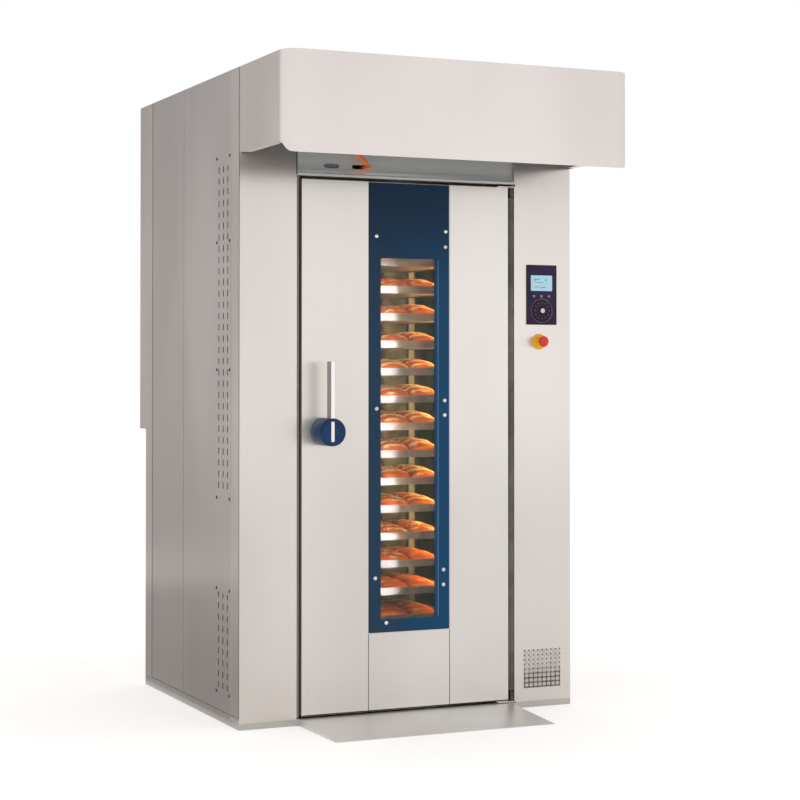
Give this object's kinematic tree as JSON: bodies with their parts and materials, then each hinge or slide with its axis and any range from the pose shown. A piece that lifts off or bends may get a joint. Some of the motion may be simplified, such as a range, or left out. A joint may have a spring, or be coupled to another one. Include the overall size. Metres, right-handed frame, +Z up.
{
  "type": "rotating rack oven",
  "caption": "Stainless rotating rack oven with a full-height windowed door, turning rack of trays, steam hood, ramp and side control panel.",
  "frame": {"origin": "on the floor at the axis on which the rack turns", "axes": "+Z up, -Y out of the door, +X towards the control panel"},
  "size_m": [1.3118, 1.6253, 2.325],
  "materials": {
    "stainless": "brushed",
    "inner_steel": "satin",
    "dark_steel": "satin",
    "mineral_wool": "matte",
    "blue_paint": "satin",
    "clear_glass": "polished",
    "seal_rubber": "matte",
    "tray_steel": "satin",
    "wheel_plastic": "matte",
    "control_plastic": "gloss",
    "yellow_plastic": "matte",
    "red_plastic": "gloss",
    "orange_plastic": "matte",
    "motor_paint": "satin"
  },
  "bodies": {
    "cabinet": {"base_frame": "dark_steel", "chamber_liner": "inner_steel", "insulation_jacket": "mineral_wool", "air_duct_panel": "inner_steel", "heater_bank": "dark_steel", "fan_motor": "motor_paint", "drive_gearmotor": "motor_paint", "left_front_panel": "stainless", "left_rear_panel": "stainless", "left_upper_vent": "stainless", "left_lower_vent": "stainless", "right_side_panel": "stainless", "rear_panel": "stainless", "rear_service_cover": "stainless", "roof_panel": "stainless", "left_column": "stainless", "right_column": "stainless", "door_header": "stainless", "hood_shell": "stainless", "access_ramp": "stainless", "control_panel": "control_plastic", "estop_collar": "yellow_plastic", "upper_hinge": "inner_steel", "lower_hinge": "inner_steel"},
    "fan": {"circulation_fan": "inner_steel"},
    "dial": {"selector_dial": "control_plastic"},
    "stop_button": {"estop_button": "red_plastic"},
    "damper": {"damper_lever": "orange_plastic"},
    "door": {"door_shell": "stainless", "door_left_panel": "stainless", "door_right_panel": "stainless", "door_lower_panel": "stainless", "inner_glass": "clear_glass", "door_seal": "seal_rubber"},
    "window": {"window_surround": "blue_paint", "outer_glass": "clear_glass"},
    "handle": {"handle_hub": "blue_paint", "handle_bar": "stainless", "latch_cam": "inner_steel"},
    "rotor": {"turntable": "inner_steel", "drive_spindle": "inner_steel", "rack_frame": "inner_steel", "tray_01": "tray_steel", "tray_02": "tray_steel", "tray_03": "tray_steel", "tray_04": "tray_steel", "tray_05": "tray_steel", "tray_06": "tray_steel", "tray_07": "tray_steel", "tray_08": "tray_steel", "tray_09": "tray_steel", "tray_10": "tray_steel", "tray_11": "tray_steel", "tray_12": "tray_steel", "tray_13": "tray_steel", "tray_14": "tray_steel"},
    "front_left_caster": {"front_left_wheel": "wheel_plastic"},
    "front_right_caster": {"front_right_wheel": "wheel_plastic"},
    "rear_left_caster": {"rear_left_wheel": "wheel_plastic"},
    "rear_right_caster": {"rear_right_wheel": "wheel_plastic"}
  },
  "joints": [
    {"name": "door_swing", "type": "hinge", "parent": "cabinet", "child": "door", "pos_m": [0.407, -0.552, 1], "axis": [0, 0, 1], "range_deg": [0, 110]},
    {"name": "window_swing", "type": "hinge", "parent": "door", "child": "window", "pos_m": [0.1545, -0.55, 1.1], "axis": [0, 0, 1], "range_deg": [0, 90]},
    {"name": "handle_turn", "type": "hinge", "parent": "door", "child": "handle", "pos_m": [-0.341, -0.6, 1.029], "axis": [0, 1, 0], "range_deg": [0, 90]},
    {"name": "rack_spin", "type": "hinge", "parent": "cabinet", "child": "rotor", "pos_m": [0, 0, 0.024], "axis": [0, 0, 1], "continuous": true},
    {"name": "fan_spin", "type": "hinge", "parent": "cabinet", "child": "fan", "pos_m": [-0.25, 0, 2], "axis": [0, 0, 1], "continuous": true},
    {"name": "dial_turn", "type": "hinge", "parent": "cabinet", "child": "dial", "pos_m": [0.534, -0.555, 1.467], "axis": [0, 1, 0], "continuous": true},
    {"name": "estop_press", "type": "slide", "parent": "cabinet", "child": "stop_button", "axis": [0, 1, 0], "range_m": [0, 0.005]},
    {"name": "damper_swing", "type": "hinge", "parent": "cabinet", "child": "damper", "pos_m": [-0.177, -0.575, 1.971], "axis": [0, 1, 0], "range_deg": [0, 90]},
    {"name": "front_left_roll", "type": "hinge", "parent": "rotor", "child": "front_left_caster", "pos_m": [-0.298, -0.19, 0.0743], "axis": [1, 0, 0], "continuous": true},
    {"name": "front_right_roll", "type": "hinge", "parent": "rotor", "child": "front_right_caster", "pos_m": [0.298, -0.19, 0.0743], "axis": [1, 0, 0], "continuous": true},
    {"name": "rear_left_roll", "type": "hinge", "parent": "rotor", "child": "rear_left_caster", "pos_m": [-0.298, 0.19, 0.0743], "axis": [1, 0, 0], "continuous": true},
    {"name": "rear_right_roll", "type": "hinge", "parent": "rotor", "child": "rear_right_caster", "pos_m": [0.298, 0.19, 0.0743], "axis": [1, 0, 0], "continuous": true}
  ]
}
